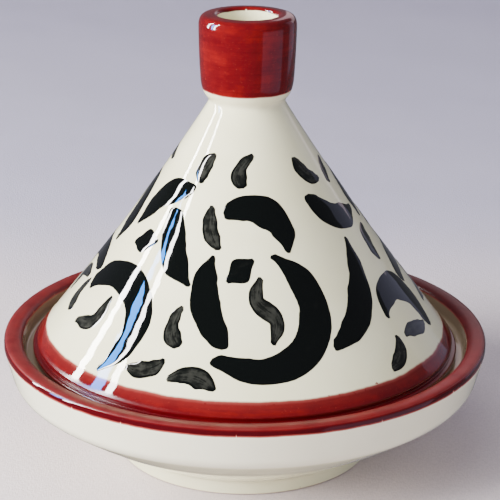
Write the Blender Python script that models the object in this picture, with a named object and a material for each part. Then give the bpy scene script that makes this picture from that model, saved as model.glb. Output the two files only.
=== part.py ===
"""A glazed earthenware tagine: a footed serving dish and the conical lid that rests in it.

Both pieces are turned on the potter's wheel, so each is one closed profile spun about Z.
The origin is the centre of the foot ring's underside, +Z is up and lengths are in metres.
"""

import math

import bmesh
import bpy

MM = 0.001
SEGMENTS = 64
MERGE_DISTANCE = 1e-6

# Driving dimensions, in millimetres
RIM_RADIUS = 125.0
DISH_HEIGHT = 63.7
RIM_WIDTH = 9.4
WALL = 8.0
FOOT_RADIUS = 67.0
FOOT_HEIGHT = 7.5
FOOT_WIDTH = 6.0
LEDGE_HEIGHT = 54.0
TOTAL_HEIGHT = 229.5
LID_WALL = 7.0
FLANGE_RADIUS = 110.2
KNOB_RADIUS = 24.3
KNOB_HEIGHT = 41.0
SEAT_GAP = 0.3

# Dish, derived
RIM_INNER = RIM_RADIUS - RIM_WIDTH
CREST_RADIUS = RIM_RADIUS - 3.4
BAND_HEIGHT = DISH_HEIGHT - 4.2
KNUCKLE_RADIUS = RIM_RADIUS - 4.4
KNUCKLE_HEIGHT = DISH_HEIGHT - 22.0
FLOOR_HEIGHT = FOOT_HEIGHT + WALL
FLOOR_RADIUS = 40.0
BOWL_RADIUS = 97.5
RECESS_HEIGHT = FOOT_HEIGHT - 0.7

# Lid, derived
LID_BASE = LEDGE_HEIGHT + SEAT_GAP
FLANGE_TOP = LID_BASE + 4.4
SKIRT_RADIUS = FLANGE_RADIUS - 2.6
SHOULDER_HEIGHT = FLANGE_TOP + 2.9
LID_BAND_TOP = FLANGE_TOP + 8.8
KNOB_BASE = TOTAL_HEIGHT - KNOB_HEIGHT
NECK_HEIGHT = KNOB_BASE - 2.2
NECK_RADIUS = KNOB_RADIUS - 5.1
HOLE_RADIUS = 14.9
CUP_DEPTH = 26.5

# The flank widens downwards from the neck, a little faster near its foot
FLANK_START_RADIUS = 17.8
FLANK_START_HEIGHT = NECK_HEIGHT + 1.2
FLANK_SLOPE = 0.6192
FLANK_FLARE = 0.000746
FLANK_STEPS = 4
FLANK_TOP = NECK_HEIGHT - 4.3
APEX_HEIGHT = NECK_HEIGHT + 2.7
INNER_FLANK_TOP = APEX_HEIGHT - 17.0

CREAM = (0.86, 0.83, 0.74, 1.0)
RED = (0.42, 0.02, 0.02, 1.0)
GLAZE_ROUGHNESS = 0.12


def bend(start, corner, end, steps=3):
    """Points after start, up to and including end, on a quadratic curve drawn towards corner."""
    points = []
    for i in range(1, steps + 1):
        t = i / steps
        a, b, c = (1 - t) ** 2, 2 * t * (1 - t), t * t
        points.append(tuple(a * s + b * m + c * e for s, m, e in zip(start, corner, end)))
    return points


def flank_radius(height):
    """Outer radius of the lid's cone at a height."""
    down = FLANK_START_HEIGHT - height
    return FLANK_START_RADIUS + FLANK_SLOPE * down + FLANK_FLARE * down * down


def flank(top, bottom, inset):
    """Points down the cone from top to bottom, inset from its outer surface by a wall."""
    points = []
    for i in range(FLANK_STEPS + 1):
        height = top + (bottom - top) * i / FLANK_STEPS
        slope = FLANK_SLOPE + 2 * FLANK_FLARE * (FLANK_START_HEIGHT - height)
        points.append((flank_radius(height) - inset * math.hypot(1, slope), height))
    return points


def dish_profile():
    """The dish's section from the middle of its floor, over the rim, to the middle of its underside."""
    floor_edge = (FLOOR_RADIUS, FLOOR_HEIGHT + 0.5)
    bowl_top = (BOWL_RADIUS, LEDGE_HEIGHT - 5.0)
    ledge_inner = (BOWL_RADIUS + 4.5, LEDGE_HEIGHT)
    ledge_outer = (RIM_INNER - 3.1, LEDGE_HEIGHT)
    wall_foot = (RIM_INNER - 0.7, LEDGE_HEIGHT + 2.5)
    wall_top = (RIM_INNER - 0.2, DISH_HEIGHT - 3.2)
    lip = (RIM_INNER + 1.6, DISH_HEIGHT - 0.7)
    crest = (CREST_RADIUS, DISH_HEIGHT)
    rim_corner = (RIM_RADIUS, DISH_HEIGHT - 2.4)
    band_edge = (RIM_RADIUS, BAND_HEIGHT)
    above_knuckle = (KNUCKLE_RADIUS + 1.0, KNUCKLE_HEIGHT + 4.3)
    below_knuckle = (KNUCKLE_RADIUS - 4.1, KNUCKLE_HEIGHT - 2.8)
    foot_top = (FOOT_RADIUS + 1.8, FOOT_HEIGHT + 0.8)
    foot_side = (FOOT_RADIUS, FOOT_HEIGHT - 1.5)
    foot_inner = FOOT_RADIUS - FOOT_WIDTH

    points = [(0.0, FLOOR_HEIGHT), floor_edge]
    points += bend(floor_edge, (BOWL_RADIUS - 9.5, FLOOR_HEIGHT + 1.5), bowl_top, 5)
    points += bend(bowl_top, (BOWL_RADIUS + 0.5, LEDGE_HEIGHT), ledge_inner, 2)
    points += [ledge_outer]
    points += bend(ledge_outer, (RIM_INNER - 1.0, LEDGE_HEIGHT), wall_foot, 2)
    points += [wall_top]
    points += bend(wall_top, (RIM_INNER, DISH_HEIGHT - 1.3), lip, 2)
    points += [crest]
    points += bend(crest, (RIM_RADIUS - 0.1, DISH_HEIGHT), rim_corner, 4)
    points += [band_edge]
    points += [above_knuckle]
    points += bend(above_knuckle, (KNUCKLE_RADIUS, KNUCKLE_HEIGHT), below_knuckle)
    points += bend(below_knuckle, (FOOT_RADIUS + 26.0, FOOT_HEIGHT + 14.5), foot_top, 4)
    points += bend(foot_top, (FOOT_RADIUS, FOOT_HEIGHT), foot_side, 2)
    points += [(FOOT_RADIUS, 1.0), (FOOT_RADIUS - 0.8, 0.0)]
    points += [(foot_inner, 0.0), (foot_inner - 1.0, 1.0)]
    points += [(foot_inner - 2.5, RECESS_HEIGHT), (0.0, RECESS_HEIGHT)]
    return points


def knob_profile():
    """The hollow knob's section from the middle of its cup's floor to the neck below it."""
    cup_floor = TOTAL_HEIGHT - CUP_DEPTH
    floor_edge = (HOLE_RADIUS - 6.5, cup_floor + 0.2)
    wall_foot = (HOLE_RADIUS - 0.5, cup_floor + 6.0)
    wall_top = (HOLE_RADIUS, TOTAL_HEIGHT - 2.0)
    mouth = (HOLE_RADIUS + 1.9, TOTAL_HEIGHT)
    top_edge = (KNOB_RADIUS - 3.4, TOTAL_HEIGHT - 0.3)
    side_top = (KNOB_RADIUS, TOTAL_HEIGHT - 5.0)
    side_foot = (KNOB_RADIUS - 1.0, KNOB_BASE + 9.0)
    neck_top = (NECK_RADIUS + 0.5, KNOB_BASE - 0.7)
    neck = (NECK_RADIUS, NECK_HEIGHT)

    points = [(0.0, cup_floor), floor_edge]
    points += bend(floor_edge, (HOLE_RADIUS - 0.7, cup_floor + 0.3), wall_foot, 2)
    points += [wall_top]
    points += bend(wall_top, (HOLE_RADIUS + 0.1, TOTAL_HEIGHT - 0.1), mouth, 2)
    points += [top_edge]
    points += bend(top_edge, (KNOB_RADIUS - 0.3, TOTAL_HEIGHT - 0.6), side_top)
    points += bend(side_top, (KNOB_RADIUS - 0.1, TOTAL_HEIGHT - 20.0), side_foot, 2)
    points += bend(side_foot, (KNOB_RADIUS - 1.4, KNOB_BASE + 2.0), neck_top)
    points += [neck]
    return points


def lid_profile():
    """The lid's section from the knob's cup, down the outside, and up the inside to its apex."""
    neck = (NECK_RADIUS, NECK_HEIGHT)
    flank_top = (flank_radius(FLANK_TOP), FLANK_TOP)
    shoulder = (flank_radius(SHOULDER_HEIGHT), SHOULDER_HEIGHT)
    skirt_top = (SKIRT_RADIUS + 0.1, SHOULDER_HEIGHT - 1.3)
    groove = (SKIRT_RADIUS, FLANGE_TOP)
    flange_top = (FLANGE_RADIUS - 1.2, FLANGE_TOP)
    flange_side = (FLANGE_RADIUS, FLANGE_TOP - 1.6)
    flange_foot = (FLANGE_RADIUS - 1.6, LID_BASE)
    seat_inner = (SKIRT_RADIUS - LID_WALL + 2.4, LID_BASE)
    inner_corner = (SKIRT_RADIUS - LID_WALL + 0.2, LID_BASE + 2.7)
    inner_skirt = (SKIRT_RADIUS - LID_WALL - 0.2, LID_BASE + 4.2)

    points = knob_profile()
    points += bend(neck, (NECK_RADIUS + 0.1, NECK_HEIGHT - 1.4), flank_top, 2)
    points += flank(FLANK_TOP, LID_BAND_TOP, 0.0)[1:]
    points += [shoulder]
    points += bend(shoulder, (SKIRT_RADIUS + 0.4, SHOULDER_HEIGHT - 0.6), skirt_top, 2)
    points += [groove, flange_top]
    points += bend(flange_top, (FLANGE_RADIUS, FLANGE_TOP - 0.1), flange_side, 2)
    points += bend(flange_side, (FLANGE_RADIUS - 0.1, LID_BASE + 0.2), flange_foot, 2)
    points += [seat_inner, inner_corner, inner_skirt]
    inside = flank(INNER_FLANK_TOP, SHOULDER_HEIGHT + 0.7, LID_WALL)[::-1]
    points += inside
    points += bend(inside[-1], (0.45 * inside[-1][0], APEX_HEIGHT), (0.0, APEX_HEIGHT), 3)
    return points


def glaze(name, colour):
    """A glossy glaze of one colour."""
    material = bpy.data.materials.new(name)
    material.use_nodes = True
    shader = material.node_tree.nodes["Principled BSDF"]
    shader.inputs["Base Color"].default_value = colour
    shader.inputs["Roughness"].default_value = GLAZE_ROUGHNESS
    shader.inputs["Metallic"].default_value = 0.0
    material.diffuse_color = colour
    return material


def turned(name, profile, is_red):
    """Spins a profile about Z into one closed solid, cream but for the faces that is_red accepts."""
    mesh = bpy.data.meshes.new(name)
    shape = bmesh.new()
    points = [shape.verts.new((radius * MM, 0.0, height * MM)) for radius, height in profile]
    edges = [shape.edges.new(pair) for pair in zip(points, points[1:])]
    bmesh.ops.spin(
        shape,
        geom=points + edges,
        cent=(0.0, 0.0, 0.0),
        axis=(0.0, 0.0, 1.0),
        angle=2 * math.pi,
        steps=SEGMENTS,
        use_merge=True,
    )
    bmesh.ops.remove_doubles(shape, verts=shape.verts[:], dist=MERGE_DISTANCE)
    bmesh.ops.recalc_face_normals(shape, faces=shape.faces[:])
    for face in shape.faces:
        centre = face.calc_center_median()
        radius = math.hypot(centre.x, centre.y) / MM
        face.material_index = int(is_red(radius, centre.z / MM))
    shape.to_mesh(mesh)
    shape.free()
    mesh.materials.append(glaze(f"{name}_cream", CREAM))
    mesh.materials.append(glaze(f"{name}_red", RED))
    mesh.shade_smooth()
    mesh.set_sharp_from_angle(angle=math.radians(35))
    solid = bpy.data.objects.new(name, mesh)
    bpy.context.scene.collection.objects.link(solid)
    return solid


def on_dish_paint(radius, height):
    """True on the dish's painted lip."""
    return radius > RIM_INNER - 0.5 and height > BAND_HEIGHT


def on_lid_paint(radius, height):
    """True on the painted knob, and on the band round the lid's skirt and flange."""
    on_knob = radius > HOLE_RADIUS and height > KNOB_BASE + 3.5
    on_band = radius > SKIRT_RADIUS - 6.0 and LID_BASE < height < LID_BAND_TOP
    return on_knob or on_band


def main():
    for old in list(bpy.data.objects):
        bpy.data.objects.remove(old)
    turned("dish", dish_profile(), on_dish_paint)
    turned("lid", lid_profile(), on_lid_paint)


main()
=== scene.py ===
"""Looks of the glazed tagine pot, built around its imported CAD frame.

The dish and the lid are turned again at a finer step with a potter's small irregularities, the cone
carries raised brush strokes, and every surface has a procedural glaze. Profiles are in millimetres
(radius, height); everything that reaches Blender is in metres.
"""

import math

import bpy
import numpy as np
from mathutils import Matrix, Vector


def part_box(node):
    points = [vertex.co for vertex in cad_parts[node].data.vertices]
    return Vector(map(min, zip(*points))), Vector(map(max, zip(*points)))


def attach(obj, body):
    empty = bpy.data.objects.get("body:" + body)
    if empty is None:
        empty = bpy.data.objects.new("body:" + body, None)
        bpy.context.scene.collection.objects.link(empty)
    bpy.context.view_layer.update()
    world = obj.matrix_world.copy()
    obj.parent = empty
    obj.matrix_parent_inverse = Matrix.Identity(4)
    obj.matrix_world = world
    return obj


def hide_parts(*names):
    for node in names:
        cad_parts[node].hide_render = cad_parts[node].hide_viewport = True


MM = 0.001

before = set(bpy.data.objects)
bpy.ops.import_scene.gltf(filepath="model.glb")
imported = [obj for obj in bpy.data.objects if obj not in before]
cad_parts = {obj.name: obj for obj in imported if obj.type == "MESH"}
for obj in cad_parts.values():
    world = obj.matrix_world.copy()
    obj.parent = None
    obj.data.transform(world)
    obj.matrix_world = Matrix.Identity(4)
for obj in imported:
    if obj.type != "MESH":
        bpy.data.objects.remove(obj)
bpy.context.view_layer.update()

# ---------------------------------------------------------------- sizes, from the CAD boxes, in mm

dish_low, dish_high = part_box("dish")
lid_low, lid_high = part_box("lid")

RIM_RADIUS = dish_high.x / MM
DISH_HEIGHT = dish_high.z / MM
FLANGE_RADIUS = lid_high.x / MM
LID_BASE = lid_low.z / MM
TOTAL_HEIGHT = lid_high.z / MM

RIM_WIDTH = 9.4
WALL = 8.0
FOOT_RADIUS = 67.0
FOOT_HEIGHT = 7.5
FOOT_WIDTH = 6.0
LEDGE_HEIGHT = LID_BASE - 0.3
LID_WALL = 7.0
KNOB_RADIUS = 24.3
KNOB_HEIGHT = 41.0

RIM_INNER = RIM_RADIUS - RIM_WIDTH
CREST_RADIUS = RIM_RADIUS - 3.4
BAND_HEIGHT = DISH_HEIGHT - 4.2
KNUCKLE_RADIUS = RIM_RADIUS - 4.4
KNUCKLE_HEIGHT = DISH_HEIGHT - 22.0
FLOOR_HEIGHT = FOOT_HEIGHT + WALL
FLOOR_RADIUS = 40.0
BOWL_RADIUS = 97.5
RECESS_HEIGHT = FOOT_HEIGHT - 0.7

FLANGE_TOP = LID_BASE + 4.4
SKIRT_RADIUS = FLANGE_RADIUS - 2.6
SHOULDER_HEIGHT = FLANGE_TOP + 2.9
KNOB_BASE = TOTAL_HEIGHT - KNOB_HEIGHT
NECK_HEIGHT = KNOB_BASE - 2.2
NECK_RADIUS = KNOB_RADIUS - 5.1
HOLE_RADIUS = 14.9
CUP_DEPTH = 26.5

FLANK_START_RADIUS = 17.8
FLANK_START_HEIGHT = NECK_HEIGHT + 1.2
FLANK_SLOPE = 0.6192
FLANK_FLARE = 0.000746
FLANK_TOP = NECK_HEIGHT - 4.3
APEX_HEIGHT = NECK_HEIGHT + 2.7
INNER_FLANK_TOP = APEX_HEIGHT - 17.0

BAND_TOP = FLANGE_TOP + 8.8
KNOB_PAINT_FOOT = KNOB_BASE + 3.7

SEGMENTS = 288
BEND_STEPS = 8
LONGEST_STEP = 2.6
SHARP_ANGLE = math.radians(50)

DISH_WARP_AMOUNT = 0.22
DISH_WARP_PHASE = 0.6
LID_WARP_AMOUNT = 0.16
LID_WARP_PHASE = 1.9


# ---------------------------------------------------------------- turned shapes


def bend(start, corner, end):
    """Points after start, up to and including end, on a quadratic curve drawn towards corner."""
    points = []
    for i in range(1, BEND_STEPS + 1):
        t = i / BEND_STEPS
        a, b, c = (1 - t) ** 2, 2 * t * (1 - t), t * t
        points.append(tuple(a * s + b * m + c * e for s, m, e in zip(start, corner, end)))
    return points


def flank_radius(height):
    """Outer radius of the lid's cone at a height."""
    down = FLANK_START_HEIGHT - height
    return FLANK_START_RADIUS + FLANK_SLOPE * down + FLANK_FLARE * down * down


def flank(top, bottom, inset):
    """Points down the cone from top to bottom, inset from its outer surface by a wall."""
    steps = int(abs(top - bottom) / LONGEST_STEP) + 1
    points = []
    for i in range(steps + 1):
        height = top + (bottom - top) * i / steps
        slope = FLANK_SLOPE + 2 * FLANK_FLARE * (FLANK_START_HEIGHT - height)
        points.append((flank_radius(height) - inset * math.hypot(1, slope), height))
    return points


def dish_profile():
    """The dish's section from the middle of its floor, over the rim, to the middle of its underside."""
    floor_edge = (FLOOR_RADIUS, FLOOR_HEIGHT + 0.5)
    bowl_top = (BOWL_RADIUS, LEDGE_HEIGHT - 5.0)
    ledge_inner = (BOWL_RADIUS + 4.5, LEDGE_HEIGHT)
    ledge_outer = (RIM_INNER - 3.1, LEDGE_HEIGHT)
    wall_foot = (RIM_INNER - 0.7, LEDGE_HEIGHT + 2.5)
    wall_top = (RIM_INNER - 0.2, DISH_HEIGHT - 3.2)
    lip = (RIM_INNER + 1.6, DISH_HEIGHT - 0.7)
    crest = (CREST_RADIUS, DISH_HEIGHT)
    rim_corner = (RIM_RADIUS, DISH_HEIGHT - 2.4)
    band_edge = (RIM_RADIUS, BAND_HEIGHT)
    above_knuckle = (KNUCKLE_RADIUS + 1.0, KNUCKLE_HEIGHT + 4.3)
    below_knuckle = (KNUCKLE_RADIUS - 4.1, KNUCKLE_HEIGHT - 2.8)
    foot_top = (FOOT_RADIUS + 1.8, FOOT_HEIGHT + 0.8)
    foot_side = (FOOT_RADIUS, FOOT_HEIGHT - 1.5)
    foot_inner = FOOT_RADIUS - FOOT_WIDTH

    points = [(0.0, FLOOR_HEIGHT), floor_edge]
    points += bend(floor_edge, (BOWL_RADIUS - 9.5, FLOOR_HEIGHT + 1.5), bowl_top)
    points += bend(bowl_top, (BOWL_RADIUS + 0.5, LEDGE_HEIGHT), ledge_inner)
    points += [ledge_outer]
    points += bend(ledge_outer, (RIM_INNER - 1.0, LEDGE_HEIGHT), wall_foot)
    points += [wall_top]
    points += bend(wall_top, (RIM_INNER, DISH_HEIGHT - 1.3), lip)
    points += bend(lip, (RIM_INNER + 3.0, DISH_HEIGHT - 0.1), crest)
    points += bend(crest, (RIM_RADIUS - 0.1, DISH_HEIGHT), rim_corner)
    points += [band_edge, above_knuckle]
    points += bend(above_knuckle, (KNUCKLE_RADIUS, KNUCKLE_HEIGHT), below_knuckle)
    points += bend(below_knuckle, (FOOT_RADIUS + 26.0, FOOT_HEIGHT + 14.5), foot_top)
    points += bend(foot_top, (FOOT_RADIUS, FOOT_HEIGHT), foot_side)
    points += [(FOOT_RADIUS, 1.0)]
    points += bend((FOOT_RADIUS, 1.0), (FOOT_RADIUS, 0.0), (FOOT_RADIUS - 1.0, 0.0))
    points += [(foot_inner, 0.0)]
    points += bend((foot_inner, 0.0), (foot_inner - 1.0, 0.0), (foot_inner - 1.0, 1.0))
    points += [(foot_inner - 2.5, RECESS_HEIGHT), (0.0, RECESS_HEIGHT)]
    return points


def knob_profile():
    """The hollow knob's section from the middle of its cup's floor to the neck below it."""
    cup_floor = TOTAL_HEIGHT - CUP_DEPTH
    floor_edge = (HOLE_RADIUS - 6.5, cup_floor + 0.2)
    wall_foot = (HOLE_RADIUS - 0.5, cup_floor + 6.0)
    wall_top = (HOLE_RADIUS, TOTAL_HEIGHT - 2.0)
    mouth = (HOLE_RADIUS + 1.9, TOTAL_HEIGHT)
    top_edge = (KNOB_RADIUS - 3.4, TOTAL_HEIGHT - 0.3)
    side_top = (KNOB_RADIUS, TOTAL_HEIGHT - 5.0)
    side_foot = (KNOB_RADIUS - 1.0, KNOB_BASE + 9.0)
    neck_top = (NECK_RADIUS + 0.5, KNOB_BASE - 0.7)
    neck = (NECK_RADIUS, NECK_HEIGHT)

    points = [(0.0, cup_floor), floor_edge]
    points += bend(floor_edge, (HOLE_RADIUS - 0.7, cup_floor + 0.3), wall_foot)
    points += [wall_top]
    points += bend(wall_top, (HOLE_RADIUS + 0.1, TOTAL_HEIGHT - 0.1), mouth)
    points += [top_edge]
    points += bend(top_edge, (KNOB_RADIUS - 0.3, TOTAL_HEIGHT - 0.6), side_top)
    points += bend(side_top, (KNOB_RADIUS - 0.1, TOTAL_HEIGHT - 20.0), side_foot)
    points += bend(side_foot, (KNOB_RADIUS - 1.4, KNOB_BASE + 2.0), neck_top)
    points += [neck]
    return points


def lid_profile():
    """The lid's section from the knob's cup, down the outside, and up the inside to its apex."""
    neck = (NECK_RADIUS, NECK_HEIGHT)
    flank_top = (flank_radius(FLANK_TOP), FLANK_TOP)
    shoulder = (flank_radius(SHOULDER_HEIGHT), SHOULDER_HEIGHT)
    skirt_top = (SKIRT_RADIUS + 0.1, SHOULDER_HEIGHT - 1.3)
    skirt_foot = (SKIRT_RADIUS - 0.1, FLANGE_TOP + 0.5)
    groove = (SKIRT_RADIUS + 0.4, FLANGE_TOP)
    flange_top = (FLANGE_RADIUS - 1.2, FLANGE_TOP)
    flange_side = (FLANGE_RADIUS, FLANGE_TOP - 1.6)
    flange_foot = (FLANGE_RADIUS - 1.6, LID_BASE)
    seat_inner = (SKIRT_RADIUS - LID_WALL + 2.4, LID_BASE)
    inner_corner = (SKIRT_RADIUS - LID_WALL + 0.2, LID_BASE + 2.7)
    inner_skirt = (SKIRT_RADIUS - LID_WALL - 0.2, LID_BASE + 4.2)

    points = knob_profile()
    points += bend(neck, (NECK_RADIUS + 0.1, NECK_HEIGHT - 1.4), flank_top)
    points += flank(FLANK_TOP, SHOULDER_HEIGHT, 0.0)[1:]
    points += bend(shoulder, (SKIRT_RADIUS + 0.4, SHOULDER_HEIGHT - 0.6), skirt_top)
    points += [skirt_foot]
    points += bend(skirt_foot, (SKIRT_RADIUS - 0.1, FLANGE_TOP), groove)
    points += [flange_top]
    points += bend(flange_top, (FLANGE_RADIUS, FLANGE_TOP - 0.1), flange_side)
    points += bend(flange_side, (FLANGE_RADIUS - 0.1, LID_BASE + 0.2), flange_foot)
    points += [seat_inner]
    points += bend(seat_inner, (SKIRT_RADIUS - LID_WALL + 0.3, LID_BASE + 0.1), inner_corner)
    points += [inner_skirt]
    inside = flank(INNER_FLANK_TOP, SHOULDER_HEIGHT + 0.7, LID_WALL)[::-1]
    points += inside
    points += bend(inside[-1], (0.45 * inside[-1][0], APEX_HEIGHT), (0.0, APEX_HEIGHT))
    return points


def divided(profile):
    """The profile with its long straight runs cut into short steps."""
    points = [profile[0]]
    for start, end in zip(profile, profile[1:]):
        steps = int(math.dist(start, end) / LONGEST_STEP) + 1
        for i in range(1, steps + 1):
            points.append(tuple(s + (e - s) * i / steps for s, e in zip(start, end)))
    return np.array(points)


def warp(angle, height, amount, phase):
    """How far a hand-turned wall stands out of true round at an angle and a height, in mm."""
    slow = np.sin(2 * angle + phase) + 0.6 * np.sin(3 * angle + 2.1 * phase + 0.02 * height)
    rings = 0.12 * np.sin(height * 0.9 + 0.8 * np.sin(angle + phase))
    return amount * (slow + rings)


def new_object(name, vertices, faces, material):
    """A smooth mesh object in the scene. Vertices are in millimetres."""
    mesh = bpy.data.meshes.new(name)
    mesh.from_pydata((np.asarray(vertices) * MM).tolist(), [], faces)
    mesh.materials.append(material)
    mesh.shade_smooth()
    mesh.set_sharp_from_angle(angle=SHARP_ANGLE)
    piece = bpy.data.objects.new(name, mesh)
    bpy.context.scene.collection.objects.link(piece)
    return piece


def turned(name, profile, material, amount, phase):
    """Spins a profile that starts and ends on the axis into one closed body."""
    points = divided(profile)
    angles = np.linspace(0, 2 * math.pi, SEGMENTS, endpoint=False)
    rings = points[1:-1]
    radius = rings[:, :1] + warp(angles[None, :], rings[:, 1:], amount, phase) * np.minimum(
        rings[:, :1] / RIM_RADIUS, 1.0
    )
    height = np.repeat(rings[:, 1:], SEGMENTS, axis=1)
    grid = np.stack([radius * np.cos(angles), radius * np.sin(angles), height], axis=-1)
    vertices = grid.reshape(-1, 3).tolist()
    first, last = len(vertices), len(vertices) + 1
    vertices.append((0.0, 0.0, points[0][1]))
    vertices.append((0.0, 0.0, points[-1][1]))

    faces = []
    count = len(rings)
    for column in range(SEGMENTS):
        beside = (column + 1) % SEGMENTS
        faces.append((first, column, beside))
        for row in range(count - 1):
            upper, lower = row * SEGMENTS, (row + 1) * SEGMENTS
            faces.append((upper + column, lower + column, lower + beside, upper + beside))
        end = (count - 1) * SEGMENTS
        faces.append((last, end + beside, end + column))
    return new_object(name, vertices, faces, material)


# ---------------------------------------------------------------- painted strokes on the cone

PANELS = 7
PANEL_ORDER = "ABCDBDC"
FIRST_PANEL_ANGLE = math.radians(4.0)
STROKE_STEP = 0.7
STROKE_COLUMNS = 8
STROKE_RISE = 0.14
STROKE_ROOT = 0.12
STROKE_SEED = 11
LAYERS = 3
LAYER_RISE = 0.05
EDGE_SHARE = 0.35
EDGE_WANDER = 0.17
WANDER_WAVES = ((9.0, 1.0), (3.7, 0.55), (1.6, 0.3))
END_ROUNDING = 0.7
SHARPEST_BEND = 0.85
LEAST_HALF_WIDTH = 0.05
POOL_LENGTH = 3.0
BRUSH_SLANT = 0.45
BRUSH_SLANT_REACH = 4.5
PAINT_FOOT = BAND_TOP + 1.5

# One stroke: x and y of its middle from the panel's foot, first heading, length, turns, widths and wash.
# Lengths are in mm on the unrolled cone, headings and turns in degrees; wash is 0 for dense black.
MOTIFS = {
    "A": [
        (13, 33, -32, 106, (100, 190, 250, 190, 110), (7, 12, 16, 17, 14, 3), 0.0),
        (-22, 47, 105, 49, (60, -90, -60), (8, 13, 15, 12, 3), 0.0),
        (5, 87, 20, 45, (-60, -150, -90), (8, 13, 16, 12, 3), 0.0),
        (5, 42, 262, 38, (-200, 380, -380, 200), (3, 7, 9, 7, 3), 0.5),
        (-20, 84, 250, 24, (40, 80), (3, 8, 8, 3), 0.5),
        (-32, 10, 20, 26, (-60, -110), (3, 8, 10, 4), 0.45),
        (-4, 112, 205, 20, (60, 160), (3, 6, 8, 5), 0.45),
        (-7, 62, 35, 17, (0, 0), (3, 13, 3), 0.1),
    ],
    "B": [
        (-15, 43, -100, 67, (-30, -90, -120), (3, 11, 16, 13, 6), 0.0),
        (20, 30, 70, 60, (160, 190, 220), (8, 13, 17, 14, 3), 0.0),
        (4, 85, -80, 41, (90, 140, 60), (8, 13, 14, 3), 0.0),
        (17, 14, 30, 26, (-160, 160), (3, 8, 8, 3), 0.5),
        (-3, 108, 262, 20, (60, 140), (4, 8, 8, 3), 0.5),
        (21, 63, 110, 22, (-30, -120), (3, 7, 9, 4), 0.5),
        (-8, 8, 0, 22, (60, 120), (4, 8, 8, 3), 0.5),
        (14, 106, 240, 16, (0, 60), (3, 6, 3), 0.45),
    ],
    "C": [
        (-3, 33, 40, 92, (-110, -180, -220, -150), (8, 14, 17, 16, 12, 3), 0.0),
        (14, 70, -62, 45, (-50, 80, 50), (9, 14, 14, 3), 0.0),
        (-9, 90, 55, 41, (60, -110, -60), (3, 12, 14, 8), 0.0),
        (-18, 24, 20, 32, (-200, 280, -200), (3, 8, 8, 3), 0.5),
        (30, 12, -10, 22, (60, 120), (4, 9, 8, 3), 0.45),
        (9, 112, 235, 17, (40, 100), (3, 8, 8, 3), 0.5),
        (-7, 68, 10, 17, (0, 0), (3, 13, 3), 0.1),
        (34, 35, 250, 23, (60, 150), (3, 6, 9, 5), 0.5),
    ],
    "D": [
        (0, 32, 150, 90, (120, 190, 240, 190), (8, 13, 17, 16, 12, 3), 0.0),
        (-12, 76, 75, 43, (-150, 60, 120), (3, 12, 14, 9), 0.0),
        (14, 80, -75, 43, (60, -90), (9, 13, 14, 3), 0.0),
        (14, 30, 80, 30, (160, -280, 160), (3, 8, 8, 3), 0.5),
        (32, 28, 245, 22, (60, 150), (3, 6, 9, 5), 0.5),
        (-31, 35, -70, 25, (-60, -60), (7, 8.5, 5, 2), 0.55),
        (0, 109, 165, 28, (-60, 200, 60), (3, 7, 7, 3), 0.45),
    ],
}


class Cone:
    """The lid's flank unrolled flat, so that strokes keep their shape and width on it."""

    def __init__(self):
        self.down = np.linspace(0.0, FLANK_START_HEIGHT - BAND_TOP + 8.0, 400)
        self.radius = FLANK_START_RADIUS + FLANK_SLOPE * self.down + FLANK_FLARE * self.down**2
        slope = FLANK_SLOPE + 2 * FLANK_FLARE * self.down
        middle = (slope[1:] + slope[:-1]) / 2
        steps = np.diff(self.down) * np.hypot(1.0, middle)
        apex = self.radius[0] * math.hypot(1, slope[0]) / slope[0]
        self.slant = apex + np.concatenate([[0.0], np.cumsum(steps)])
        self.foot = np.interp(FLANK_START_HEIGHT - PAINT_FOOT, self.down, self.slant)

    def place(self, x, y, panel, lift):
        """Points of the flat panel, lifted off the glaze along its normal, on the cone, in mm."""
        along = self.foot - y
        slant = np.hypot(x, along)
        radius = np.interp(slant, self.slant, self.radius)
        down = np.interp(slant, self.slant, self.down)
        angle = np.arctan2(x, along) * slant / radius + panel
        slope = FLANK_SLOPE + 2 * FLANK_FLARE * down
        tilt = 1 / np.hypot(1.0, slope)
        height = FLANK_START_HEIGHT - down + lift * slope * tilt
        azimuth = angle - math.pi / 2
        radius = radius + lid_warp(azimuth, FLANK_START_HEIGHT - down, radius) + lift * tilt
        return np.stack([radius * np.cos(azimuth), radius * np.sin(azimuth), height], axis=-1)


def lid_warp(azimuth, height, radius):
    """The lid's own irregularity, so that the strokes lie on it."""
    return warp(azimuth, height, LID_WARP_AMOUNT, LID_WARP_PHASE) * radius / RIM_RADIUS


def stroke_line(stroke):
    """A stroke's middle line, heading and progress, from its heading, length and turns."""
    x, y, heading, length, turns = stroke[:5]
    count = int(length / STROKE_STEP)
    t = np.linspace(0.0, 1.0, count + 1)
    turning = np.interp(t, np.linspace(0, 1, len(turns)), turns)
    turned_by = np.concatenate([[0.0], np.cumsum((turning[1:] + turning[:-1]) / 2 / count)])
    angle = np.radians(heading + turned_by)
    middle = (angle[1:] + angle[:-1]) / 2
    px = np.concatenate([[0.0], np.cumsum(np.cos(middle))]) * length / count
    py = np.concatenate([[0.0], np.cumsum(np.sin(middle))]) * length / count
    bending = np.radians(turning) / length
    return px - px.mean() + x, py - py.mean() + y, angle, t, bending


def stroke_half_width(stroke, t):
    """Half the stroke's width along it, eased between its given widths and rounded at both ends."""
    length, widths = stroke[3], np.array(stroke[5], float)
    place = t * (len(widths) - 1)
    index = np.clip(place.astype(int), 0, len(widths) - 2)
    ease = (1 - np.cos(np.pi * (place - index))) / 2
    half = (widths[index] * (1 - ease) + widths[index + 1] * ease) / 2
    full = half.copy()
    for end in (t * length, (1 - t) * length):
        inward = np.clip(end / (END_ROUNDING * full), 0, 1)
        half = np.minimum(half, full * np.sqrt(1 - (1 - inward) ** 2))
    return np.maximum(half, LEAST_HALF_WIDTH)


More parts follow.
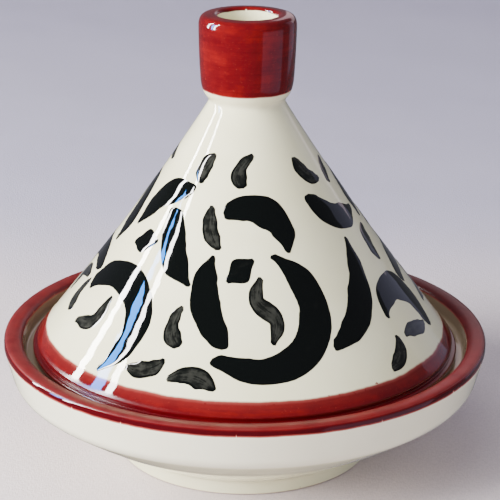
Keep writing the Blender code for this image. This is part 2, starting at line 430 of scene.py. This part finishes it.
def ragged(random, t, length):
    """A brushed edge's small wander along a stroke, in mm."""
    wander = np.zeros_like(t)
    for wavelength, share in WANDER_WAVES:
        knots = random.normal(size=int(length / wavelength) + 3) * share
        wander += np.interp(t, np.linspace(0, 1, len(knots)), knots)
    return wander * EDGE_WANDER


def stroke_mesh(stroke, cone, panel, layer, random):
    """One raised stroke as a closed body: its vertices, its faces and each vertex's paint values."""
    px, py, angle, t, bending = stroke_line(stroke)
    half = stroke_half_width(stroke, t)
    length, wash = stroke[3], stroke[6]
    fade = np.clip(half / 1.5, 0, 1)
    left = half + ragged(random, t, length) * fade
    right = half + ragged(random, t, length) * fade
    tightest = SHARPEST_BEND / np.maximum(np.abs(bending), 1e-6)
    left = np.where(bending > 0, np.minimum(left, tightest), left)
    right = np.where(bending < 0, np.minimum(right, tightest), right)

    across = np.linspace(1.0, -1.0, STROKE_COLUMNS + 1)
    reach = np.where(across > 0, left[:, None], right[:, None]) * across
    from_end = np.minimum(t, 1 - t)[:, None] * length
    slide = BRUSH_SLANT * reach * np.exp(-from_end / BRUSH_SLANT_REACH)
    x = px[:, None] - np.sin(angle)[:, None] * reach + np.cos(angle)[:, None] * slide
    y = py[:, None] + np.cos(angle)[:, None] * reach + np.sin(angle)[:, None] * slide
    crown = np.clip(1 - np.abs(across) ** 6, 0.0, 1.0)
    lift = (EDGE_SHARE + (1 - EDGE_SHARE) * crown) * (STROKE_RISE + LAYER_RISE * layer) * np.ones_like(x)
    top = cone.place(x, y, panel, lift)
    root = cone.place(x[:, [0, -1]], y[:, [0, -1]], panel, -STROKE_ROOT * np.ones((len(t), 2)))

    columns = STROKE_COLUMNS + 3
    rows = len(t)
    grid = np.concatenate([top, root[:, 1:], root[:, :1]], axis=1)
    faces = []
    for row in range(rows - 1):
        for column in range(columns):
            beside = (column + 1) % columns
            a, b = row * columns, (row + 1) * columns
            faces.append((a + column, a + beside, b + beside, b + column))
    faces.append(tuple(range(columns))[::-1])
    faces.append(tuple((rows - 1) * columns + c for c in range(columns)))

    sides = np.concatenate([across, [-1.0, 1.0]])
    progress = np.repeat(t * length, columns)
    sideways = np.tile(sides, rows)
    pool = np.repeat(np.clip((t - 1) * length / POOL_LENGTH + 1, 0, 1), columns)
    paint = np.stack([progress, sideways, np.full_like(progress, wash), pool], axis=-1)
    return grid.reshape(-1, 3), faces, paint


def brushwork(name, motif, cone, panel, random, material):
    """All strokes of one panel as one piece."""
    vertices, faces, paint = [], [], []
    for layer, stroke in enumerate(motif):
        points, quads, values = stroke_mesh(stroke, cone, panel, layer % LAYERS, random)
        start = sum(len(v) for v in vertices)
        vertices.append(points)
        faces += [tuple(start + i for i in face) for face in quads]
        paint.append(values)
    piece = new_object(name, np.concatenate(vertices), faces, material)
    values = np.concatenate(paint)
    for column, title in enumerate(("along", "across", "wash", "pool")):
        attribute = piece.data.attributes.new(title, "FLOAT", "POINT")
        attribute.data.foreach_set("value", values[:, column].astype(np.float32))
    return piece


# ---------------------------------------------------------------- node helpers


def new_material(name):
    """An empty node material and its Principled shader."""
    material = bpy.data.materials.new(name)
    material.use_nodes = True
    return material, material.node_tree, material.node_tree.nodes["Principled BSDF"]


def fill(tree, node, inputs):
    """Links or sets a node's inputs, given by name or by number."""
    for key, value in inputs.items():
        if isinstance(value, bpy.types.NodeSocket):
            tree.links.new(value, node.inputs[key])
        else:
            node.inputs[key].default_value = value
    return node


def calc(tree, operation, a, b=0.0, c=0.0):
    """A math node worked on up to three values, which are numbers or sockets."""
    node = tree.nodes.new("ShaderNodeMath")
    node.operation = operation
    return fill(tree, node, {0: a, 1: b, 2: c}).outputs[0]


def product(tree, *factors):
    """All the factors multiplied together."""
    result = factors[0]
    for factor in factors[1:]:
        result = calc(tree, "MULTIPLY", result, factor)
    return result


def inverse(tree, value):
    """One minus a value."""
    return calc(tree, "SUBTRACT", 1.0, value)


def mix(tree, factor, a, b):
    """Colour a where the factor is 0, colour b where it is 1."""
    node = tree.nodes.new("ShaderNodeMix")
    node.data_type = "RGBA"
    return fill(tree, node, {0: factor, 6: a, 7: b}).outputs[2]


def step(tree, value, low, high):
    """0 below low, 1 above high, smooth between."""
    node = tree.nodes.new("ShaderNodeMapRange")
    node.interpolation_type = "SMOOTHSTEP"
    return fill(tree, node, {"Value": value, "From Min": low, "From Max": high}).outputs[0]


def below(tree, value, low, high):
    """1 below low, 0 above high, smooth between."""
    return inverse(tree, step(tree, value, low, high))


def noise(tree, vector, scale, stretch=(1, 1, 1), detail=4.0, roughness=0.55):
    """Noise from 0 to 1 over millimetre positions, stretched by a scale for each axis."""
    mapping = fill(tree, tree.nodes.new("ShaderNodeMapping"), {"Vector": vector, "Scale": stretch})
    node = tree.nodes.new("ShaderNodeTexNoise")
    values = {"Vector": mapping.outputs[0], "Scale": scale, "Detail": detail, "Roughness": roughness}
    return fill(tree, node, values).outputs[0]


def attribute(tree, name):
    """A value stored at each vertex of the mesh."""
    node = tree.nodes.new("ShaderNodeAttribute")
    node.attribute_name = name
    return node.outputs["Fac"]


def position_mm(tree):
    """The surface point in millimetres, with its height and its distance from the axis."""
    source = tree.nodes.new("ShaderNodeTexCoord").outputs["Object"]
    scaled = tree.nodes.new("ShaderNodeVectorMath")
    scaled.operation = "SCALE"
    fill(tree, scaled, {0: source, "Scale": 1 / MM})
    point = scaled.outputs[0]
    parts = fill(tree, tree.nodes.new("ShaderNodeSeparateXYZ"), {0: point})
    x, y, height = parts.outputs
    squares = calc(tree, "ADD", product(tree, x, x), product(tree, y, y))
    return point, height, calc(tree, "SQRT", squares)


# ---------------------------------------------------------------- glazes

CREAM_LIGHT = (0.85, 0.83, 0.58, 1)
CREAM_DEEP = (0.79, 0.76, 0.50, 1)
# Painted light: the cream as the cloth's cool bounced light would tint it, used on the dish's outside.
CREAM_IN_CLOTH_LIGHT = (0.84, 0.83, 0.71, 1)
SPECK = (0.20, 0.13, 0.08, 1)
PAINT_RED = (0.092, 0.0022, 0.004, 1)
PAINT_BRIGHT = (0.155, 0.0045, 0.0045, 1)
PAINT_SPOT = (0.30, 0.035, 0.02, 1)
PAINT_DARK = (0.065, 0.001, 0.003, 1)
PAINT_CRIMSON = (0.042, 0.0008, 0.0026, 1)
PAINT_THIN = (0.44, 0.11, 0.09, 1)
PAINT_RUBBED = (0.135, 0.013, 0.012, 1)
GLAZE_ROUGHNESS = 0.012
GLAZE_ROUGHNESS_SPREAD = 0.03
WORN_ROUGHNESS = 0.36
FLANGE_ROUGHNESS = 0.20
KNOB_ROUGHNESS = 0.05
GLAZE_IOR = 1.5
GLAZE_SPECULAR = 0.38
RIPPLE_STRENGTH = 0.035
RIPPLE_DEPTH = 0.0012
# Painted shade: the brown that darkens the gap between the dish's rim and the lid, and how strongly it
# is mixed in.
PAINTED_GAP_SHADE = (0.24, 0.13, 0.08, 1)
GAP_SHADE_SHARE = 0.78
# How strongly the painted bounce-light tint is mixed into the dish's outside.
CLOTH_LIGHT_SHARE = 0.55
CRIMSON_SHARE = 0.9
SPECK_SHARE = 0.55
BARE_CLAY = (0.60, 0.45, 0.32, 1)
BLACK = (0.0012, 0.0018, 0.0015, 1)
OLIVE_WASH = (0.010, 0.011, 0.009, 1)
PALE_WASH = (0.032, 0.033, 0.028, 1)


def cream(tree, point):
    """Ivory glaze: slow changes of depth, and a few iron specks."""
    cloud = noise(tree, point, 0.022, detail=3.0)
    base = mix(tree, step(tree, cloud, 0.3, 0.75), CREAM_LIGHT, CREAM_DEEP)
    cells = tree.nodes.new("ShaderNodeTexVoronoi")
    fill(tree, cells, {"Vector": point, "Scale": 0.085, "Randomness": 1.0})
    dot = below(tree, cells.outputs["Distance"], 0.012, 0.03)
    return mix(tree, product(tree, dot, SPECK_SHARE), base, SPECK)


def red(tree, point, edge):
    """Red paint laid on with a turning brush. edge is 0 at the paint's rim and 1 well inside it."""
    clouds = noise(tree, point, 0.055, stretch=(1, 1, 1.6), detail=4.0, roughness=0.6)
    strokes = noise(tree, point, 0.07, stretch=(0.6, 0.6, 9.0), detail=5.0, roughness=0.65)
    blotches = noise(tree, point, 0.30, stretch=(0.7, 0.7, 1.6), detail=4.0, roughness=0.65)
    pits = noise(tree, point, 1.1, detail=1.0)
    base = mix(tree, step(tree, clouds, 0.32, 0.60), PAINT_BRIGHT, PAINT_RED)
    base = mix(tree, product(tree, step(tree, strokes, 0.42, 0.7), 0.55), base, PAINT_DARK)
    base = mix(tree, product(tree, step(tree, blotches, 0.5, 0.72), 0.4), base, PAINT_BRIGHT)
    base = mix(tree, product(tree, step(tree, pits, 0.68, 0.78), 0.4), base, PAINT_SPOT)
    return mix(tree, product(tree, inverse(tree, edge), 0.85), base, PAINT_THIN)


def finish_glaze(tree, shader, point, colour, dulled=0.0):
    """Glossy glaze over a colour, with the faint ripple of a fired surface. dulled adds roughness."""
    cloud = noise(tree, point, 0.16, detail=2.0)
    rough = calc(tree, "MULTIPLY_ADD", cloud, GLAZE_ROUGHNESS_SPREAD, GLAZE_ROUGHNESS)
    ripple = noise(tree, point, 0.11, detail=2.0, roughness=0.4)
    bump = tree.nodes.new("ShaderNodeBump")
    fill(tree, bump, {"Height": ripple, "Strength": RIPPLE_STRENGTH, "Distance": RIPPLE_DEPTH})
    values = {
        "Base Color": colour,
        "Roughness": calc(tree, "ADD", rough, dulled),
        "Normal": bump.outputs[0],
        "IOR": GLAZE_IOR,
        "Specular IOR Level": GLAZE_SPECULAR,
    }
    fill(tree, shader, values)


def paint_line(tree, point, scale, amount):
    """The wander of a painted line round the pot, in mm, with a few chips in it."""
    slow = calc(tree, "SUBTRACT", noise(tree, point, scale, stretch=(1, 1, 0.2), detail=3.0), 0.5)
    chips = step(tree, noise(tree, point, 0.55, stretch=(1, 1, 0.2), detail=2.0), 0.68, 0.74)
    return calc(tree, "SUBTRACT", product(tree, slow, amount), product(tree, chips, 0.7))


def dish_glaze():
    """Cream dish with a red lip, paler and duller on top. The foot's resting face is bare clay."""
    material, tree, shader = new_material("dish_glaze")
    point, height, radius = position_mm(tree)
    outside = step(tree, radius, RIM_INNER + 2.0, RIM_INNER + 3.0)

    inner_edge = DISH_HEIGHT - 3.0
    edge = calc(tree, "MULTIPLY_ADD", outside, BAND_HEIGHT - inner_edge, inner_edge)
    above = calc(tree, "ADD", calc(tree, "SUBTRACT", height, edge), paint_line(tree, point, 0.05, 1.2))
    painted = step(tree, above, -0.2, 0.2)
    paint = red(tree, point, step(tree, above, 0.1, 1.1))

    low = below(tree, height, DISH_HEIGHT - 1.6, DISH_HEIGHT - 0.7)
    outer_face = product(tree, low, outside, step(tree, above, 0.4, 1.4), CRIMSON_SHARE)
    paint = mix(tree, outer_face, paint, PAINT_CRIMSON)
    crest = step(tree, height, DISH_HEIGHT - 1.3, DISH_HEIGHT - 0.5)
    rubbed = step(tree, noise(tree, point, 0.12, stretch=(1, 1, 3), detail=3.0), 0.2, 0.7)
    paint = mix(tree, product(tree, crest, rubbed), paint, PAINT_RUBBED)

    # Painted shade: the ledge and the rim's inner wall in the gap under the lid are darkened towards a
    # brown shade colour.
    near_lid = step(tree, radius, BOWL_RADIUS + 3.0, BOWL_RADIUS + 6.0)
    over_ledge = step(tree, height, LEDGE_HEIGHT - 1.5, LEDGE_HEIGHT - 0.5)
    gap_shade = product(tree, near_lid, GAP_SHADE_SHARE, inverse(tree, outside), over_ledge)
    # Painted light: the dish's outside is tinted cooler, standing in for light bounced from the cloth.
    clay = mix(tree, product(tree, outside, CLOTH_LIGHT_SHARE), cream(tree, point), CREAM_IN_CLOTH_LIGHT)
    clay = mix(tree, gap_shade, clay, PAINTED_GAP_SHADE)

    ground = below(tree, height, 0.35, 0.8)
    colour = mix(tree, painted, clay, paint)
    colour = mix(tree, ground, colour, BARE_CLAY)
    inner_lip = below(tree, radius, CREST_RADIUS - 0.5, CREST_RADIUS + 0.5)
    worn = product(tree, calc(tree, "MAXIMUM", crest, inner_lip), painted)
    worn = calc(tree, "MAXIMUM", worn, ground)
    finish_glaze(tree, shader, point, colour, product(tree, worn, WORN_ROUGHNESS))
    return material


def lid_glaze():
    """Cream lid with a red knob, and a red band round its foot, thin at its top and dark below."""
    material, tree, shader = new_material("lid_glaze")
    point, height, radius = position_mm(tree)
    moved = calc(tree, "ADD", height, paint_line(tree, point, 0.06, 1.6))

    on_knob = calc(tree, "SUBTRACT", moved, KNOB_PAINT_FOOT)
    in_cup = product(
        tree,
        below(tree, radius, HOLE_RADIUS + 0.5, HOLE_RADIUS + 1.0),
        below(tree, moved, TOTAL_HEIGHT - 2.0, TOTAL_HEIGHT - 1.4),
    )
    knob = product(tree, step(tree, on_knob, -0.3, 0.3), inverse(tree, in_cup))

    on_band = calc(tree, "SUBTRACT", BAND_TOP, moved)
    outside = step(tree, radius, SKIRT_RADIUS - 7.5, SKIRT_RADIUS - 6.5)
    band = product(tree, step(tree, on_band, -0.5, 0.5), outside)
    band_edge = product(tree, step(tree, on_band, 0.0, 1.8), outside)

    paint = red(tree, point, calc(tree, "MAXIMUM", step(tree, on_knob, 0.0, 0.8), band_edge))
    thin = product(tree, below(tree, on_band, 1.0, 6.0), band, 0.6)
    paint = mix(tree, thin, paint, PAINT_RUBBED)
    # The band turns darker towards its foot, in the groove just above the dish's rim.
    thick = product(tree, step(tree, on_band, 4.0, 7.0), outside, 0.7)
    paint = mix(tree, thick, paint, PAINT_DARK)
    colour = mix(tree, calc(tree, "MAXIMUM", knob, band), cream(tree, point), paint)

    flange = step(tree, radius, SKIRT_RADIUS - 1.6, SKIRT_RADIUS - 0.4)
    flange = product(tree, flange, FLANGE_ROUGHNESS)
    dulled = calc(tree, "MAXIMUM", flange, product(tree, knob, KNOB_ROUGHNESS))
    finish_glaze(tree, shader, point, colour, dulled)
    return material


def stroke_enamel():
    """Black brush strokes: dense where thick, an olive wash where thin, darker at edges and ends."""
    material, tree, shader = new_material("stroke_enamel")
    point = position_mm(tree)[0]
    along, across = attribute(tree, "along"), attribute(tree, "across")
    wash, pool = attribute(tree, "wash"), attribute(tree, "pool")
    flat = tree.nodes.new("ShaderNodeCombineXYZ")
    fill(tree, flat, {0: product(tree, along, 0.08), 1: product(tree, across, 3.0), 2: wash})
    streaks = noise(tree, flat.outputs[0], 1.6, detail=4.0)
    clouds = noise(tree, point, 0.25, detail=3.0)
    patchy = calc(tree, "SUBTRACT", calc(tree, "ADD", streaks, clouds), 1.0)
    side = step(tree, calc(tree, "ABSOLUTE", across), 0.6, 0.95)

    density = inverse(tree, wash)
    for value, share in ((side, 0.45), (pool, 0.6), (patchy, 0.6)):
        density = calc(tree, "ADD", density, product(tree, value, share))
    thin = mix(tree, step(tree, patchy, -0.15, 0.25), PALE_WASH, OLIVE_WASH)
    colour = mix(tree, step(tree, density, 0.15, 0.9), thin, BLACK)
    finish_glaze(tree, shader, point, colour)
    return material


# ---------------------------------------------------------------- stage, lights and camera

POT_MIDDLE = (0.0, 0.0, 0.10)
WORLD_COLOUR = (0.85, 0.86, 1.0, 1)
WORLD_STRENGTH = 0.20
CAMERA_PLACE = Vector((0.0, -0.840, 0.406))
CAMERA_PITCH = 0.343
CAMERA_ROLL = 0.0095
CAMERA_LENS = 124.6
CAMERA_SHIFT = 0.0088
STAGE_FRONT = -6.0
STAGE_BACK = 1.25
STAGE_HALF_WIDTH = 6.0
STAGE_CURVE = 0.5
STAGE_TOP = 2.4
FLOOR_LIGHT = (0.74, 0.655, 0.675, 1)
FLOOR_DEEP = (0.69, 0.615, 0.65, 1)
CLOTH_SHADE = (0.50, 0.44, 0.47, 1)
# The backdrop's darker lavender is partly its own cloth and partly painted shade.
BACKDROP = (0.475, 0.46, 0.60, 1)
BACKDROP_START = 130.0
BACKDROP_FULL = 420.0
CURVE_STEPS = 16
FLOOR_DROP = 0.1
THREAD_SCALE = 0.75
THREAD_SHARE = 0.35
CREASE_HEIGHT = 30.0


def stage_material():
    """Pale cloth with a fine crossed grain and slow, soft creases."""
    material, tree, shader = new_material("stage_cloth")
    point = position_mm(tree)[0]
    cloud = noise(tree, point, 0.006, detail=3.0)
    colour = mix(tree, cloud, FLOOR_LIGHT, FLOOR_DEEP)
    # Further back the cloth turns a darker lavender: partly a second cloth, partly painted shade for the
    # dimmer light there.
    depth = fill(tree, tree.nodes.new("ShaderNodeSeparateXYZ"), {0: point}).outputs[1]
    colour = mix(tree, step(tree, depth, BACKDROP_START, BACKDROP_FULL), colour, BACKDROP)
    weft = noise(tree, point, THREAD_SCALE, stretch=(0.45, 1.6, 1.0), detail=2.0)
    cross_weft = noise(tree, point, THREAD_SCALE, stretch=(1.6, 0.45, 1.0), detail=2.0)
    grain = calc(tree, "ADD", weft, cross_weft)
    colour = mix(tree, product(tree, step(tree, grain, 0.8, 1.25), THREAD_SHARE), colour, CLOTH_SHADE)
    crease = noise(tree, point, 0.004, stretch=(1.0, 1.0, 0.5), detail=2.0)
    height = calc(tree, "MULTIPLY_ADD", crease, CREASE_HEIGHT, grain)
    bump = tree.nodes.new("ShaderNodeBump")
    fill(tree, bump, {"Height": height, "Strength": 0.5, "Distance": 0.0004})
    values = {
        "Base Color": colour,
        "Roughness": 0.9,
        "Normal": bump.outputs[0],
        "Specular IOR Level": 0.1,
    }
    fill(tree, shader, values)
    return material


def make_stage():
    """A wide floor that curves up into a backdrop, well behind the pot."""
    line = [(STAGE_FRONT, 0.0), (STAGE_BACK, 0.0)]
    for i in range(1, CURVE_STEPS + 1):
        turn = math.pi / 2 * i / CURVE_STEPS
        line.append((STAGE_BACK + STAGE_CURVE * math.sin(turn), STAGE_CURVE * (1 - math.cos(turn))))
    line.append((STAGE_BACK + STAGE_CURVE, STAGE_TOP))
    vertices = [(side * STAGE_HALF_WIDTH / MM, y / MM, z / MM) for y, z in line for side in (-1, 1)]
    faces = [(2 * i, 2 * i + 1, 2 * i + 3, 2 * i + 2) for i in range(len(line) - 1)]
    floor = new_object("floor", vertices, faces, stage_material())
    floor.location.z = -FLOOR_DROP * MM
    floor.visible_glossy = False


def area_light(name, place, target, size, power, colour):
    """A rectangular soft light at a place, aimed at a target."""
    light = bpy.data.lights.new(name, "AREA")
    light.shape = "RECTANGLE"
    light.size, light.size_y = size
    light.energy = power
    light.color = colour
    lamp = bpy.data.objects.new(name, light)
    bpy.context.scene.collection.objects.link(lamp)
    lamp.location = place
    lamp.rotation_euler = (Vector(target) - Vector(place)).to_track_quat("-Z", "Y").to_euler()
    lamp.visible_camera = False
    return lamp


def soft_light(name, place, size, power, colour):
    """A fill light on the pot that lights the room without showing in the glaze."""
    lamp = area_light(name, place, POT_MIDDLE, size, power, colour)
    lamp.visible_glossy = False


def reflected_light(name, place, facing, size, power, colour):
    """A panel that shows in the glaze and adds no light of its own to the room."""
    target = Vector(place) + Vector(facing)
    lamp = area_light(name, place, target, size, power, colour)
    lamp.visible_diffuse = False
    lamp.visible_transmission = False


def make_lights():
    """Soft daylight from the left; two bright panes, sky and dim walls are mirrored in the glaze."""
    white, sky = (1.0, 0.985, 0.97), (0.04, 0.30, 1.0)
    dusk, blush, shade = (0.66, 0.66, 1.0), (1.0, 0.78, 0.84), (0.62, 0.72, 1.0)
    right, left = (1.0, 0.0, 0.0), (-1.0, 0.0, 0.0)
    reflected_light("window_left", (-1.4, 0.345, 0.70), right, (0.11, 1.1), 57, white)
    reflected_light("window_right", (-1.4, -0.185, 0.77), right, (0.105, 1.26), 62, white)
    reflected_light("window_sky", (-1.4, 0.0, 0.565), right, (0.15, 0.83), 30, sky)
    reflected_light("wall_right", (1.0, 0.76, 0.375), left, (0.66, 1.05), 1.05, dusk)
    reflected_light("shade_right", (0.95, -0.50, -0.10), (-0.95, 0.50, 0.2), (1.1, 0.7), 1.7, dusk)
    reflected_light("wall_back", (0.62, 1.12, 0.53), (-0.2, -1.0, -0.45), (1.1, 0.36), 1.4, blush)
    soft_light("key", (-1.45, -0.75, 0.85), (1.0, 1.0), 128, white)
    soft_light("top", (-0.35, -0.45, 1.7), (1.2, 1.1), 10, white)
    soft_light("front", (-0.10, -2.0, 0.7), (1.4, 1.0), 14, white)
    soft_light("shade", (1.6, -0.8, 0.9), (1.4, 1.2), 5, shade)
    world = bpy.data.worlds.new("room")
    bpy.context.scene.world = world
    world.use_nodes = True
    background = world.node_tree.nodes["Background"]
    background.inputs["Color"].default_value = WORLD_COLOUR
    background.inputs["Strength"].default_value = WORLD_STRENGTH


def make_camera():
    """A long lens, slightly above the pot and looking down at it."""
    data = bpy.data.cameras.new("camera")
    data.lens = CAMERA_LENS
    data.sensor_width = 36.0
    data.shift_x = CAMERA_SHIFT
    camera = bpy.data.objects.new("camera", data)
    bpy.context.scene.collection.objects.link(camera)
    turn = Matrix.Rotation(math.pi / 2 - CAMERA_PITCH, 4, "X") @ Matrix.Rotation(CAMERA_ROLL, 4, "Z")
    camera.matrix_world = Matrix.Translation(CAMERA_PLACE) @ turn
    bpy.context.scene.camera = camera


# ---------------------------------------------------------------- the pot


def make_pot():
    """The two glazed pieces that replace the CAD's, and the brush strokes on the lid."""
    dish = turned("glazed_dish", dish_profile(), dish_glaze(), DISH_WARP_AMOUNT, DISH_WARP_PHASE)
    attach(dish, "root")
    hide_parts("dish")
    lid = turned("glazed_lid", lid_profile(), lid_glaze(), LID_WARP_AMOUNT, LID_WARP_PHASE)
    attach(lid, "root")
    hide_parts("lid")

    cone, enamel = Cone(), stroke_enamel()
    random = np.random.default_rng(STROKE_SEED)
    for index, kind in enumerate(PANEL_ORDER):
        panel = FIRST_PANEL_ANGLE + 2 * math.pi * index / PANELS
        piece = brushwork(f"brushwork_{index + 1}", MOTIFS[kind], cone, panel, random, enamel)
        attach(piece, "root")


make_pot()
make_stage()
make_lights()
make_camera()

bpy.context.view_layer.update()
